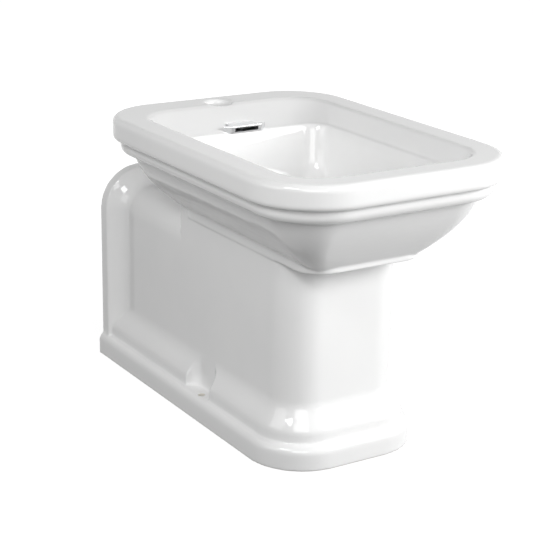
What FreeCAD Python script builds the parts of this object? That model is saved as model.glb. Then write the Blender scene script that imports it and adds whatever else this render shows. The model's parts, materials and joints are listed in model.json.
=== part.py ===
import FreeCAD, Part
import math
import os
import Sketcher
from FreeCAD import Vector

# A back-to-wall bidet in glazed china, with its overflow, click waste and bottle trap.
# Millimetres. The floor is z = 0, the plane of symmetry is x = 0, the user sits toward -Y
# and the wall is the plane at +Y that the back of the pedestal stands against.

SIZES = {
    # rim and bowl
    "rim_width": 370,
    "rim_depth": 526,
    "rim_standoff": 120,
    "rim_top": 420,
    "rim_face": 33,
    "rim_front_radius": 97,
    "rim_back_radius": 89,
    "rim_edge_round": 9,
    "rim_foot_round": 7,
    "band_inset": 10.5,
    "band_height": 20,
    "band_round": 12,
    "bowl_inset": 28.6,
    "bowl_drop": 83,
    "bowl_side_run": 71.4,
    "bowl_end_run": 64.4,
    "bowl_radius_loss": 50.4,
    "china_wall": 11,
    "overlap": 1,
    # collar between bowl and pedestal
    "collar_inset": 91,
    "collar_back": 205,
    "collar_radius": 40,
    "collar_drop": 7,
    "head_back_radius": 12,
    "head_overlap": 3,
    # pedestal
    "plinth_depth": 541,
    "plinth_radius": 80,
    "plinth_height": 34,
    "plinth_round": 12,
    "skirt_inset": 11.8,
    "skirt_straight": 12,
    "skirt_height": 40,
    "shaft_inset": 30.2,
    "shelf_drop": 8,
    "shoulder_radius": 40.5,
    "flare_reach": 52,
    "flare_width": 23.5,
    "flare_lip": 19,
    "flare_foot": 2,
    "fixing_width": 215,
    "fixing_margin": 14.7,
    "fixing_from_wall": 304,
    "fixing_bore": 9,
    "spotface_radius": 15.3,
    "spotface_height": 66,
    "notch_length": 65.6,
    "notch_shift": 8,
    "foot_boss_radius": 19,
    "foot_boss_height": 32,
    "foot_hollow": 24,
    "foot_wall": 12,
    "gap_margin": 1,
    "gap_foot_inset": 10,
    # basin
    "deck_thickness": 14,
    "deck_depth": 55,
    "basin_side_inset": 42,
    "basin_front_inset": 41,
    "basin_radius": 56,
    "lip_flare": 2.5,
    "lip_drop": 26.9,
    "lip_side_run": 15.8,
    "lip_front_run": 14,
    "lip_back_run": 61,
    "lip_corner_draw": 26,
    "crease_step": 2.5,
    "basin_depth": 99.1,
    "basin_corner": 28,
    "basin_floor_margin": 2,
    "basin_floor_ease": 0.5,
    "recess_rise": 10,
    "tap_bore": 35,
    "tap_edge_round": 6,
    "tap_boss_radius": 27,
    "tap_boss_drop": 10,
    "tap_from_wall": 160,
    # waste
    "waste_from_wall": 400,
    "waste_bore": 46,
    "waste_hole_height": 60,
    "waste_recess": 67,
    "recess_drop": 4,
    "boss_height": 28,
    "boss_radius": 36,
    "flange_radius": 32,
    "flange_thickness": 2.5,
    "flange_chamfer": 1,
    "top_seal_thickness": 1.5,
    "top_seal_radius": 30,
    "tail_radius": 20.75,
    "tail_bore": 18.5,
    "tail_length": 62,
    "tail_slot_drop": 23,
    "tail_slot_width": 7,
    "tail_slot_height": 15,
    "lower_seal_height": 8,
    "lower_seal_radius": 31,
    "lower_seal_taper": 4,
    "slip_washer_height": 2,
    "slip_washer_radius": 29,
    "back_nut_height": 9,
    "nut_flats": 51,
    "nut_corner": 1,
    "nut_grip": 11,
    "nut_lip": 4,
    "thread_gap": 0.1,
    "hub_radius": 8,
    "hub_rise": 18,
    "hub_height": 10,
    "rib_thickness": 3,
    "rib_root": 1,
    "screw_radius": 5,
    "cartridge_tip": 2,
    "cartridge_length": 22,
    "cartridge_radius": 7,
    "cartridge_floor": 4,
    "stem_radius": 4.05,
    "running_gap": 0.05,
    "plug_travel": 8,
    "cap_radius": 30,
    "cap_height": 5.5,
    "cap_edge": 1.4,
    "cap_socket": 2.5,
    "spigot_radius": 18,
    "plug_seal_height": 2.5,
    "plug_seal_radius": 23.75,
    "spring_length": 14,
    "spring_wire": 0.9,
    "spring_clear": 0.5,
    "spring_turns": 6,
    # trap
    "pipe_radius": 16,
    "pipe_wall": 1.6,
    "pipe_gap": 0.3,
    "dip_depth": 15,
    "dip_collar_height": 3,
    "dip_collar_gap": 0.3,
    "inlet_washer_height": 2,
    "inlet_washer_gap": 0.1,
    "inlet_nut_lip": 6,
    "inlet_nut_grip": 10,
    "bottle_radius": 33,
    "bottle_wall": 2.6,
    "bottle_thread_depth": 1.6,
    "bottle_shoulder": 58,
    "shoulder_rise": 4,
    "shoulder_run": 5,
    "shoulder_drop": 6,
    "shoulder_wall": 3,
    "bottle_rib_width": 2.5,
    "bottle_rib_height": 3,
    "neck_radius": 21,
    "neck_drop": 32,
    "neck_height": 18,
    "neck_gap": 0.5,
    "cup_drop": 36,
    "cup_grip": 14,
    "cup_proud": 1.8,
    "cup_floor": 3,
    "cup_foot_inset": 6,
    "cup_bevel": 1.5,
    "cup_bevel_rise": 2,
    "cup_edge_rise": 7,
    "cup_bore_foot": 8,
    "cup_seal_height": 2,
    "branch_drop": 20,
    "branch_reach": 62,
    "cone_seal": 6,
    "cone_seal_gap": 0.02,
    "outlet_grip": 24,
    "outlet_insert": 60,
    "outlet_bead": 3,
    "outlet_bead_rise": 2,
    # overflow
    "overflow_width": 42,
    "overflow_height": 10.2,
    "overflow_drop": 24,
    "overflow_front": 241.4,
    "overflow_back": 198,
    "overflow_wall": 1.6,
    "overflow_flat": 48.8,
    "overflow_wing": 9.5,
    "overflow_wing_depth": 7,
    "overflow_slot_width": 38,
    "overflow_slot_height": 5.4,
    "overflow_edge": 0.9,
    "overflow_gap": 0.2,
    "sleeve_length": 7,
    "sleeve_thickness": 1.5,
    "sleeve_room": 4,
    "duct_width": 52,
    "duct_depth": 19.2,
    "duct_skin": 8,
    "duct_bend": 12,
    "duct_low_back": 213.8,
    "duct_low_rise": 10,
    "duct_low_run": 45,
    "duct_front": 15,
    "duct_head_run": 14,
    "duct_head_margin": 4,
    "channel_width": 36,
    "channel_depth": 11,
    "channel_margin": 2,
    "channel_low_depth": 12,
    "channel_height": 10,
    "channel_front": 18,
}

doc = FreeCAD.newDocument("bidet")
sheet = doc.addObject("Spreadsheet::Sheet", "Sizes")
for row, (alias, number) in enumerate(SIZES.items(), start=1):
    sheet.set(f"A{row}", alias)
    sheet.set(f"B{row}", str(number))
    sheet.setAlias(f"B{row}", alias)
doc.recompute()


TOUCHING = 0.01


class Dim:
    """A length: its formula over the sheet's cells, and the value that the formula has now."""

    def __init__(self, text, value):
        self.text = text
        self.value = value

    def __add__(self, other):
        other = dim(other)
        return Dim(f"({self.text} + {other.text})", self.value + other.value)

    def __sub__(self, other):
        other = dim(other)
        return Dim(f"({self.text} - {other.text})", self.value - other.value)

    def __mul__(self, factor):
        return Dim(f"({self.text} * {factor:.6f})", self.value * factor)

    def __truediv__(self, divisor):
        return Dim(f"({self.text} / {divisor:g})", self.value / divisor)

    def __neg__(self):
        return self * -1


def dim(number):
    if isinstance(number, Dim):
        return number
    return Dim(f"({number:g})", number)


def size(alias):
    return Dim(f"Sizes.{alias}", sheet.get(alias))


def bind(feature, prop, length):
    feature.setExpression(prop, length.text)


# Sketches and features

def new_body(label):
    body = doc.addObject("PartDesign::Body", label)
    body.Label = label
    return body


def new_sketch(body, name, plane, offset=None):
    sketch = body.newObject("Sketcher::SketchObject", name)
    origin_plane = next(f for f in body.Origin.OriginFeatures if f.Role == plane)
    sketch.AttachmentSupport = [(origin_plane, "")]
    sketch.MapMode = "FlatFace"
    if offset is not None:
        bind(sketch, "AttachmentOffset.Base.z", offset)
    return sketch


def hold(sketch, kind, *where, length=None):
    """Adds one constraint, bound to a formula where it has a length."""
    if length is None:
        sketch.addConstraint(Sketcher.Constraint(kind, *where))
        return
    index = sketch.addConstraint(Sketcher.Constraint(kind, *where, length.value))
    sketch.setExpression(f"Constraints[{index}]", length.text)


def pin_point(sketch, edge, end, across, up):
    """Places one end of an edge; a coordinate that is None lies on the axis."""
    if across is None:
        hold(sketch, "PointOnObject", edge, end, -2)
    else:
        hold(sketch, "DistanceX", -1, 1, edge, end, length=across)
    if up is None:
        hold(sketch, "PointOnObject", edge, end, -1)
    else:
        hold(sketch, "DistanceY", -1, 1, edge, end, length=up)


def polygon(body, name, plane, corners, offset=None):
    """A closed outline of straight edges through the given corners."""
    sketch = new_sketch(body, name, plane, offset)
    points = [Vector(0 if a is None else a.value, 0 if b is None else b.value, 0) for a, b in corners]
    for start, end in zip(points, points[1:] + points[:1]):
        sketch.addGeometry(Part.LineSegment(start, end))
    count = len(points)
    for edge in range(count):
        hold(sketch, "Coincident", edge, 2, (edge + 1) % count, 1)
        pin_point(sketch, edge, 1, *corners[edge])
    return sketch


def add_circle(sketch, radius, across=None, up=None):
    centre = Vector(across.value if across else 0, up.value if up else 0, 0)
    edge = sketch.addGeometry(Part.Circle(centre, Vector(0, 0, 1), radius.value))
    hold(sketch, "Radius", edge, length=radius)
    pin_point(sketch, edge, 3, across, up)


def circle(body, name, plane, radius, across=None, up=None, offset=None):
    sketch = new_sketch(body, name, plane, offset)
    add_circle(sketch, radius, across, up)
    return sketch


def add_line(sketch, x0, y0, x1, y1):
    return sketch.addGeometry(Part.LineSegment(Vector(x0, y0, 0), Vector(x1, y1, 0)))


def add_arc(sketch, x, y, radius, start, sweep=90):
    ring = Part.Circle(Vector(x, y, 0), Vector(0, 0, 1), radius)
    first = math.radians(start)
    return sketch.addGeometry(Part.ArcOfCircle(ring, first, first + math.radians(sweep)))


def loop(body, name, level, half, back, front, back_radius, front_radius):
    """A level outline: a rectangle with rounded corners, symmetric about x = 0."""
    sketch = new_sketch(body, name, "XY_Plane", level)
    w, b, f = half.value, back.value, front.value
    rb, rf = back_radius.value, front_radius.value
    add_line(sketch, rf - w, f, w - rf, f)
    add_arc(sketch, w - rf, f + rf, rf, -90)
    add_line(sketch, w, f + rf, w, b - rb)
    add_arc(sketch, w - rb, b - rb, rb, 0)
    add_line(sketch, w - rb, b, rb - w, b)
    add_arc(sketch, rb - w, b - rb, rb, 90)
    add_line(sketch, -w, b - rb, -w, f + rf)
    add_arc(sketch, rf - w, f + rf, rf, 180)
    for edge in range(8):
        hold(sketch, "Tangent", edge, 2, (edge + 1) % 8, 1)
    for edge, kind in ((0, "Horizontal"), (2, "Vertical"), (4, "Horizontal"), (6, "Vertical")):
        hold(sketch, kind, edge)
    hold(sketch, "DistanceY", -1, 1, 0, 1, length=front)
    hold(sketch, "DistanceX", -1, 1, 2, 1, length=half)
    hold(sketch, "DistanceY", -1, 1, 4, 1, length=back)
    hold(sketch, "DistanceX", -1, 1, 6, 1, length=-half)
    for edge, radius in ((1, front_radius), (3, back_radius), (5, back_radius), (7, front_radius)):
        hold(sketch, "Radius", edge, length=radius)
    return sketch


def horseshoe(body, name, level, half, back, front, radius):
    """A level outline that is square at the wall and has rounded corners at the front."""
    sketch = new_sketch(body, name, "XY_Plane", level)
    w, b, f, r = half.value, back.value, front.value, radius.value
    add_line(sketch, r - w, f, w - r, f)
    add_arc(sketch, w - r, f + r, r, -90)
    add_line(sketch, w, f + r, w, b)
    add_line(sketch, w, b, -w, b)
    add_line(sketch, -w, b, -w, f + r)
    add_arc(sketch, r - w, f + r, r, 180)
    for first, second in ((0, 1), (1, 2), (4, 5), (5, 0)):
        hold(sketch, "Tangent", first, 2, second, 1)
    for first, second in ((2, 3), (3, 4)):
        hold(sketch, "Coincident", first, 2, second, 1)
    for edge, kind in ((0, "Horizontal"), (2, "Vertical"), (3, "Horizontal"), (4, "Vertical")):
        hold(sketch, kind, edge)
    hold(sketch, "DistanceY", -1, 1, 0, 1, length=front)
    hold(sketch, "DistanceX", -1, 1, 2, 1, length=half)
    hold(sketch, "DistanceY", -1, 1, 3, 1, length=back)
    hold(sketch, "DistanceX", -1, 1, 4, 1, length=-half)
    for edge in (1, 5):
        hold(sketch, "Radius", edge, length=radius)
    return sketch


def arch(body, name, y, half, foot, top, radius):
    """An upright outline across the pedestal: square at the foot, rounded at the top."""
    sketch = new_sketch(body, name, "XZ_Plane", -y)
    w, z0, z1, r = half.value, foot.value, top.value, radius.value
    add_line(sketch, -w, z0, w, z0)
    add_line(sketch, w, z0, w, z1 - r)
    add_arc(sketch, w - r, z1 - r, r, 0)
    add_line(sketch, w - r, z1, r - w, z1)
    add_arc(sketch, r - w, z1 - r, r, 90)
    add_line(sketch, -w, z1 - r, -w, z0)
    for first, second in ((1, 2), (2, 3), (3, 4), (4, 5)):
        hold(sketch, "Tangent", first, 2, second, 1)
    for first, second in ((0, 1), (5, 0)):
        hold(sketch, "Coincident", first, 2, second, 1)
    for edge, kind in ((0, "Horizontal"), (1, "Vertical"), (3, "Horizontal"), (5, "Vertical")):
        hold(sketch, kind, edge)
    hold(sketch, "DistanceY", -1, 1, 0, 1, length=foot)
    hold(sketch, "DistanceX", -1, 1, 1, 1, length=half)
    hold(sketch, "DistanceY", -1, 1, 3, 1, length=top)
    hold(sketch, "DistanceX", -1, 1, 5, 1, length=-half)
    for edge in (2, 4):
        hold(sketch, "Radius", edge, length=radius)
    return sketch


def pad(body, sketch, length, both_ways=False, kind="PartDesign::Pad", backwards=False):
    feature = body.newObject(kind, sketch.Name + "_run")
    feature.Profile = sketch
    feature.Reversed = backwards
    if both_ways:
        feature.SideType = "Symmetric"
    bind(feature, "Length", length)
    return feature


def pocket(body, sketch, length, both_ways=False, backwards=False):
    return pad(body, sketch, length, both_ways, "PartDesign::Pocket", backwards)


def loft(body, name, sketches, ruled=False):
    feature = body.newObject("PartDesign::AdditiveLoft", name)
    feature.Profile = sketches[0]
    feature.Sections = [(sketch, [""]) for sketch in sketches[1:]]
    feature.Ruled = ruled
    return feature


def turn(body, sketch, kind="PartDesign::Revolution"):
    feature = body.newObject(kind, sketch.Name + "_turned")
    feature.Profile = sketch
    feature.ReferenceAxis = (sketch, ["V_Axis"])
    feature.Angle = 360
    return feature


def soften(body, base, radius, wanted, kind="PartDesign::Fillet"):
    """Rounds the edges of the base feature that the test picks."""
    doc.recompute()
    names = [f"Edge{i}" for i, edge in enumerate(base.Shape.Edges, start=1) if wanted(edge)]
    feature = body.newObject(kind, base.Name + "_soft")
    feature.Base = (base, names)
    bind(feature, "Radius" if kind.endswith("Fillet") else "Size", radius)
    return feature


def level_edge(z):
    """Picks edges that lie in a level plane."""
    return lambda edge: max(abs(edge.BoundBox.ZMin - z), abs(edge.BoundBox.ZMax - z)) < TOUCHING


def box(label, x, y, z, width, depth, height):
    """A block from its middle in x, its least y and its least z."""
    block = doc.addObject("Part::Box", label)
    bind(block, "Length", width)
    bind(block, "Width", depth)
    bind(block, "Height", height)
    bind(block, "Placement.Base.x", x - width / 2)
    bind(block, "Placement.Base.y", y)
    bind(block, "Placement.Base.z", z)
    return block


def post(label, x, y, z, radius, height):
    """An upright cylinder on its foot."""
    cylinder = doc.addObject("Part::Cylinder", label)
    bind(cylinder, "Radius", radius)
    bind(cylinder, "Height", height)
    bind(cylinder, "Placement.Base.x", x)
    bind(cylinder, "Placement.Base.y", y)
    bind(cylinder, "Placement.Base.z", z)
    return cylinder


def join(label, shapes):
    fused = doc.addObject("Part::MultiFuse", label)
    fused.Shapes = shapes
    return fused


def common(label, shapes):
    kept = doc.addObject("Part::MultiCommon", label)
    kept.Shapes = shapes
    return kept


def cut(label, base, tool):
    result = doc.addObject("Part::Cut", label)
    result.Base = base
    result.Tool = tool
    return result


# Places that several pieces share

half_width = size("rim_width") / 2
wall = (size("rim_depth") + size("rim_standoff")) / 2
rim_back = wall - size("rim_standoff")
rim_front = -wall
rim_top = size("rim_top")
band_top = rim_top - size("rim_face")
bowl_top = band_top - size("band_height")
bowl_foot = bowl_top - size("bowl_drop")
collar_foot = bowl_foot - size("collar_drop")
shelf_top = bowl_foot - size("shelf_drop")
overflow_axis = rim_top - size("overflow_drop")
crease = rim_top - size("lip_drop")
basin_depth = size("basin_depth")
recess_floor = crease - basin_depth - size("recess_drop")
boss_foot = recess_floor - size("boss_height")
tail_foot = recess_floor - size("tail_length")
neck_top = tail_foot - size("neck_drop")
shoulder = neck_top - size("neck_height")
bottle_foot = shoulder - size("bottle_shoulder")
branch_axis = shoulder - size("branch_drop")
china_wall = size("china_wall")
waste_y = wall - size("waste_from_wall")
tap_y = wall - size("tap_from_wall")
plinth_half = size("fixing_width") / 2 + size("fixing_margin")
plinth_front = wall - size("plinth_depth")
BEYOND = 5


def bowl_inset(share, run, early):
    """How far the bowl's underside has drawn in, at a share of its drop."""
    return size("bowl_inset") + size(run) * (early * share + (1 - early) * share * share)


SIDE_EARLY = 0.383
END_EARLY = 0.6
BOWL_SHARES = (0, 0.2, 0.4, 0.6, 0.8, 1)


# China: the outer form

skin = new_body("china_skin")

rim_sketch = loop(skin, "rim_outline", band_top, half_width, rim_back, rim_front,
                  size("rim_back_radius"), size("rim_front_radius"))
rim = pad(skin, rim_sketch, size("rim_face"))
rim = soften(skin, rim, size("rim_edge_round"), level_edge(rim_top.value))
rim = soften(skin, rim, size("rim_foot_round"), level_edge(band_top.value))

inset = size("band_inset")
band_sketch = loop(skin, "band_outline", bowl_top, half_width - inset, rim_back - inset, rim_front + inset,
                   size("rim_back_radius") - inset, size("rim_front_radius") - inset)
band = pad(skin, band_sketch, size("band_height") + size("rim_foot_round"))
soften(skin, band, size("band_round"), level_edge(bowl_top.value))

bowl_sections = []
for share in BOWL_SHARES:
    side = bowl_inset(share, "bowl_side_run", SIDE_EARLY)
    end = bowl_inset(share, "bowl_end_run", END_EARLY)
    radius_loss = size("bowl_inset") + size("bowl_radius_loss") * share
    bowl_sections.append(loop(skin, "bowl_outline", bowl_top - size("bowl_drop") * share,
                              half_width - side, rim_back - end, rim_front + end,
                              size("rim_back_radius") - radius_loss,
                              size("rim_front_radius") - radius_loss))
loft(skin, "bowl_underside", bowl_sections)

collar_rise = bowl_foot - collar_foot + size("bowl_drop") / 2
collar_sketch = loop(skin, "collar_outline", collar_foot, half_width - size("collar_inset"),
                     wall - size("collar_back"), rim_front + size("collar_inset"),
                     size("collar_radius"), size("collar_radius"))
pad(skin, collar_sketch, collar_rise)

shaft_half = plinth_half - size("shaft_inset")
shaft_front = plinth_front + size("shaft_inset")
shaft_radius = size("plinth_radius") - size("shaft_inset")
shoulder_foot = shelf_top - size("shoulder_radius")
shaft_sketch = horseshoe(skin, "shaft_outline", dim(0), shaft_half, wall, shaft_front, shaft_radius)
pad(skin, shaft_sketch, shoulder_foot)

head_sketch = loop(skin, "head_outline", shoulder_foot, shaft_half, wall - size("collar_back"), shaft_front,
                   size("head_back_radius"), shaft_radius)
pad(skin, head_sketch, bowl_foot - shoulder_foot + size("head_overlap"))

shelf_sketch = arch(skin, "shelf_outline", wall, shaft_half, size("plinth_height"), shelf_top,
                    size("shoulder_radius"))
pad(skin, shelf_sketch, size("collar_back") + size("collar_radius"))

FLARE_SHARES = (0, 0.3, 0.6, 0.85, 1)
flare_run = size("flare_reach") - size("flare_lip")
flare_sections = []
for share in FLARE_SHARES:
    spread = size("flare_width") * (share * share)
    flare_sections.append(arch(skin, "flare_outline", wall - size("flare_reach") + flare_run * share,
                               shaft_half + spread, size("flare_foot"), shelf_top + spread,
                               size("shoulder_radius") + spread))
loft(skin, "wall_flare", flare_sections)
spread = size("flare_width")
flare_end = arch(skin, "flare_lip_outline", wall, shaft_half + spread, size("flare_foot"),
                 shelf_top + spread, size("shoulder_radius") + spread)
pad(skin, flare_end, size("flare_lip"))

SKIRT_SHARES = (0, 0.12, 0.25, 0.38, 0.5, 0.64, 0.8, 1)
SKIRT_LEAN = 0.85
skirt_foot = size("plinth_height") + size("skirt_straight")
skirt_run = size("shaft_inset") - size("skirt_inset")
skirt_sections = []
for share in SKIRT_SHARES:
    draw_in = 0.5 - 0.5 * math.cos(math.pi * share ** SKIRT_LEAN)
    inset = size("skirt_inset") + skirt_run * draw_in
    skirt_sections.append(horseshoe(skin, "skirt_outline", skirt_foot + size("skirt_height") * share,
                                    plinth_half - inset, wall, plinth_front + inset,
                                    size("plinth_radius") - inset))
loft(skin, "skirt_flare", skirt_sections)
inset = size("skirt_inset")
skirt_sketch = horseshoe(skin, "skirt_foot_outline", size("overlap"), plinth_half - inset, wall,
                         plinth_front + inset, size("plinth_radius") - inset)
pad(skin, skirt_sketch, skirt_foot - size("overlap"))

# China: the plinth is a body of its own, so that its top edge is rounded before it joins

plinth = new_body("china_plinth")
plinth_sketch = horseshoe(plinth, "plinth_outline", dim(0), plinth_half, wall, plinth_front,
                          size("plinth_radius"))
plinth_pad = pad(plinth, plinth_sketch, size("plinth_height"))


def level_edge_but_wall(z):
    """Picks edges that lie in a level plane, but not the one at the wall."""
    return lambda edge: level_edge(z)(edge) and edge.BoundBox.YMin < wall.value - TOUCHING


soften(plinth, plinth_pad, size("plinth_round"), level_edge_but_wall(size("plinth_height").value))

# China: the hollow of the pedestal, open to the floor and the wall, and the space round the basin

hollow = new_body("china_hollow")
hollow_half = shaft_half - china_wall
hollow_front = shaft_front + china_wall
hollow_sketch = horseshoe(hollow, "hollow_outline", dim(-BEYOND), hollow_half, wall + BEYOND, hollow_front,
                          shaft_radius - china_wall)
hollow_top = shelf_top - china_wall
hollow_pad = pad(hollow, hollow_sketch, hollow_top + BEYOND)
soften(hollow, hollow_pad, size("shoulder_radius") - china_wall, level_edge_but_wall(hollow_top.value))

foot_inset = size("foot_wall")
foot_sketch = horseshoe(hollow, "foot_outline", dim(-BEYOND), plinth_half - foot_inset, wall + BEYOND,
                        plinth_front + foot_inset, size("plinth_radius") - foot_inset)
pad(hollow, foot_sketch, size("foot_hollow") + BEYOND)

# the space between basin and skin keeps one wall's thickness inside the skin
gap_sections = []
deck_foot = rim_top - size("deck_thickness")
gap_wall = china_wall + size("gap_margin")
for level, inset in ((deck_foot, gap_wall), (band_top, size("band_inset") + gap_wall + size("gap_margin")),
                     (bowl_top, size("bowl_inset") + gap_wall)):
    gap_sections.append(loop(hollow, "gap_outline", level, half_width - inset, rim_back - inset,
                             rim_front + inset, size("rim_back_radius") - inset,
                             size("rim_front_radius") - inset))
GAP_THICKER = 1.25
GAP_SHARES = (0.4, 0.8)
for share in GAP_SHARES:
    side = bowl_inset(share, "bowl_side_run", SIDE_EARLY) + china_wall * GAP_THICKER
    end = bowl_inset(share, "bowl_end_run", END_EARLY) + china_wall * GAP_THICKER
    radius_loss = size("bowl_inset") + size("bowl_radius_loss") * share
    gap_sections.append(loop(hollow, "gap_outline", bowl_top - size("bowl_drop") * share,
                             half_width - side, rim_back - end, rim_front + end,
                             size("rim_back_radius") - radius_loss,
                             size("rim_front_radius") - radius_loss))
gap_foot_radius = size("collar_radius") - china_wall
# above the collar it has drawn in to the hollow, so that the collar's underside stays whole
for level in (collar_foot + china_wall, hollow_top - BEYOND):
    gap_sections.append(loop(hollow, "gap_outline", level, hollow_half - size("gap_foot_inset"),
                             wall - size("collar_back") - china_wall, hollow_front + size("gap_foot_inset"),
                             gap_foot_radius, gap_foot_radius))
loft(hollow, "gap_round_basin", gap_sections, ruled=True)

# China: the basin, its own wall, and the boss round the waste

basin = new_body("basin_space")
basin_half = half_width - size("basin_side_inset")
basin_back = rim_back - size("deck_depth")
basin_front = rim_front + size("basin_front_inset")
LIP_EDGE_SHARE = 0.1
lip_sections = []
for share, flare in ((0, size("lip_flare")), (LIP_EDGE_SHARE, dim(0)), (1, dim(0))):
    radius = size("basin_radius") + flare - size("lip_corner_draw") * share
    lip_sections.append(loop(basin, "lip_outline", rim_top - size("lip_drop") * share,
                             basin_half + flare - size("lip_side_run") * share,
                             basin_back + flare - size("lip_back_run") * share,
                             basin_front - flare + size("lip_front_run") * share, radius, radius))
loft(basin, "lip_slope", lip_sections, ruled=True)

# the basin's profile in shares of its draw-in and of its depth: straight walls, then a round to the floor
BASIN_PROFILE = ((0, 0), (0.08, 0.38), (0.155, 0.66), (0.26, 0.82), (0.43, 0.92), (0.66, 0.978), (1, 1))
recess_radius = size("waste_recess") / 2
step = size("crease_step")
crease_half = basin_half - size("lip_side_run") - step
crease_back = basin_back - size("lip_back_run") - step
crease_front = basin_front + size("lip_front_run") + step


def basin_loop(body, name, draw_in, drop, thicker, depth):
    """One level outline of the basin, or of its outer wall when thicker is more than zero."""
    foot_half = recess_radius + thicker + size("basin_floor_margin")
    half = crease_half + thicker - (crease_half + thicker - foot_half) * draw_in
    back = crease_back + thicker - (crease_back + thicker - waste_y - foot_half) * draw_in
    front = crease_front - thicker - (crease_front - thicker - waste_y + foot_half) * draw_in
    corner = size("basin_corner") + thicker
    radius = corner - (corner - foot_half + size("basin_floor_ease")) * draw_in
    return loop(body, name, crease - depth * drop, half, back, front, radius, radius)


basin_sections = [basin_loop(basin, "basin_outline", *shares, dim(0), basin_depth) for shares in BASIN_PROFILE]
loft(basin, "basin_round", basin_sections)
recess_sketch = circle(basin, "recess_outline", "XY_Plane", recess_radius, None, waste_y, recess_floor)
pad(basin, recess_sketch, size("recess_rise"))

basin_wall = new_body("basin_wall_form")
wall_depth = basin_depth + china_wall
wall_sections = []
for shares in BASIN_PROFILE:
    wall_sections.append(basin_loop(basin_wall, "wall_outline", *shares, china_wall, wall_depth))
loft(basin_wall, "wall_round", wall_sections)
LIP_WALL = 1.5
LIP_WALL_BACK = 3.6
lip_wall_radius = size("basin_corner") + china_wall
lip_wall = loop(basin_wall, "lip_wall_outline", crease - size("overlap"),
                crease_half + china_wall * LIP_WALL, crease_back + china_wall * LIP_WALL_BACK,
                crease_front - china_wall * LIP_WALL, lip_wall_radius, lip_wall_radius)
pad(basin_wall, lip_wall, deck_foot - crease + size("overlap") * 2)
boss_sketch = circle(basin_wall, "boss_outline", "XY_Plane", size("boss_radius"), None, waste_y, boss_foot)
pad(basin_wall, boss_sketch, recess_floor - boss_foot + size("overlap"))

# China: the overflow's duct, from behind the cover down and forward to the waste

skin_depth = size("duct_skin")
margin = size("channel_margin")
duct_back = wall - size("overflow_back") + size("duct_depth")
duct_foot = boss_foot + size("overlap")
overflow_top = overflow_axis + size("overflow_height") / 2
overflow_foot = overflow_axis - size("overflow_height") / 2
head_top = overflow_top + skin_depth
bend = overflow_foot - size("duct_bend")
channel_back = duct_back - skin_depth
channel_front = channel_back - size("channel_depth")
low_back = wall - size("duct_low_back")
low_level = recess_floor + size("duct_low_rise")
duct_front = waste_y + size("duct_front")
duct = new_body("china_duct")
duct_sketch = polygon(duct, "duct_outline", "YZ_Plane", [
    (duct_back, head_top),
    (duct_back, bend),
    (low_back, low_level),
    (low_back, duct_foot),
    (duct_front, duct_foot),
    (duct_front, recess_floor + size("overlap")),
    (low_back - size("duct_low_run"), low_level),
    (channel_front - skin_depth, bend),
    (channel_front - skin_depth, head_top)])
pad(duct, duct_sketch, size("duct_width"), both_ways=True)
head_foot = overflow_foot - skin_depth
head_front = channel_front - size("duct_head_run")
head_width = size("overflow_width") + skin_depth * 2 + size("duct_head_margin")
head_block = polygon(duct, "duct_head_outline", "YZ_Plane", [
    (duct_back, head_top), (duct_back, head_foot), (head_front, head_foot), (head_front, head_top)])
pad(duct, head_block, head_width, both_ways=True)

channel = new_body("china_channel")
low_channel_back = low_back - skin_depth
low_channel_front = low_channel_back - size("channel_low_depth")
channel_foot = duct_foot + skin_depth
channel_mouth = waste_y + size("channel_front")
channel_sketch = polygon(channel, "channel_outline", "YZ_Plane", [
    (channel_back, overflow_top + margin),
    (channel_back, bend + margin),
    (low_channel_back, low_level - margin),
    (low_channel_back, channel_foot),
    (channel_mouth, channel_foot),
    (channel_mouth, channel_foot + size("channel_height")),
    (low_channel_front, channel_foot + size("channel_height")),
    (low_channel_front, low_level - margin),
    (channel_front, bend + margin),
    (channel_front, overflow_top + margin)])
pad(channel, channel_sketch, size("channel_width"), both_ways=True)

# China: holes

overflow_half = size("overflow_width") / 2
cover_front = wall - size("overflow_front")
cover_back = wall - size("overflow_back")
cover_flat = size("overflow_flat") / 2
cover_wing = cover_flat + size("overflow_wing")
wing_y = cover_front + size("overflow_wing_depth")


def cover_plan(gap, end):
    """The cover's level outline, or with a gap that of its seat, as far back as the given end."""
    half = [(cover_flat + gap, cover_front - gap), (cover_wing + gap * 2, wing_y + gap),
            (overflow_half + gap, wing_y + gap), (overflow_half + gap, end)]
    return half + [(-across, along) for across, along in reversed(half)]


overflow_hole = new_body("overflow_hole")
seat_gap = size("overflow_gap") / 2
seat_plan = cover_plan(seat_gap, cover_back + size("overlap"))
seat_outline = polygon(overflow_hole, "seat_outline", "XY_Plane", seat_plan, overflow_foot - seat_gap)
pad(overflow_hole, seat_outline, size("overflow_height") + size("overflow_gap"))
sleeve_width = size("overflow_width") + size("sleeve_thickness") * 2
sleeve_height = size("overflow_height") + size("sleeve_thickness") * 2
sleeve_y = cover_back - size("sleeve_length")
sleeve_seat = box("overflow_sleeve_seat", dim(0), sleeve_y, overflow_axis - sleeve_height / 2,
                  sleeve_width, size("sleeve_length") + size("sleeve_room"), sleeve_height)
tap_boss_foot = deck_foot - size("tap_boss_drop")
tap_boss = post("tap_boss", dim(0), tap_y, tap_boss_foot, size("tap_boss_radius"),
                size("tap_boss_drop") + size("overlap"))
waste_hole = post("waste_hole", dim(0), waste_y, boss_foot - BEYOND, size("waste_bore") / 2,
                  size("waste_hole_height"))
tap_hole = new_body("tap_hole")
tap_radius = size("tap_bore") / 2
tap_round = size("tap_edge_round")
tap_below = tap_boss_foot - BEYOND
tap_corners = [(None, rim_top + BEYOND), (None, tap_below), (tap_radius, tap_below)]
for angle in range(0, 91, 15):
    out = 1 - math.cos(math.radians(angle))
    rise = math.sin(math.radians(angle))
    tap_corners.append((tap_radius + tap_round * out, rim_top - tap_round + tap_round * rise))
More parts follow.
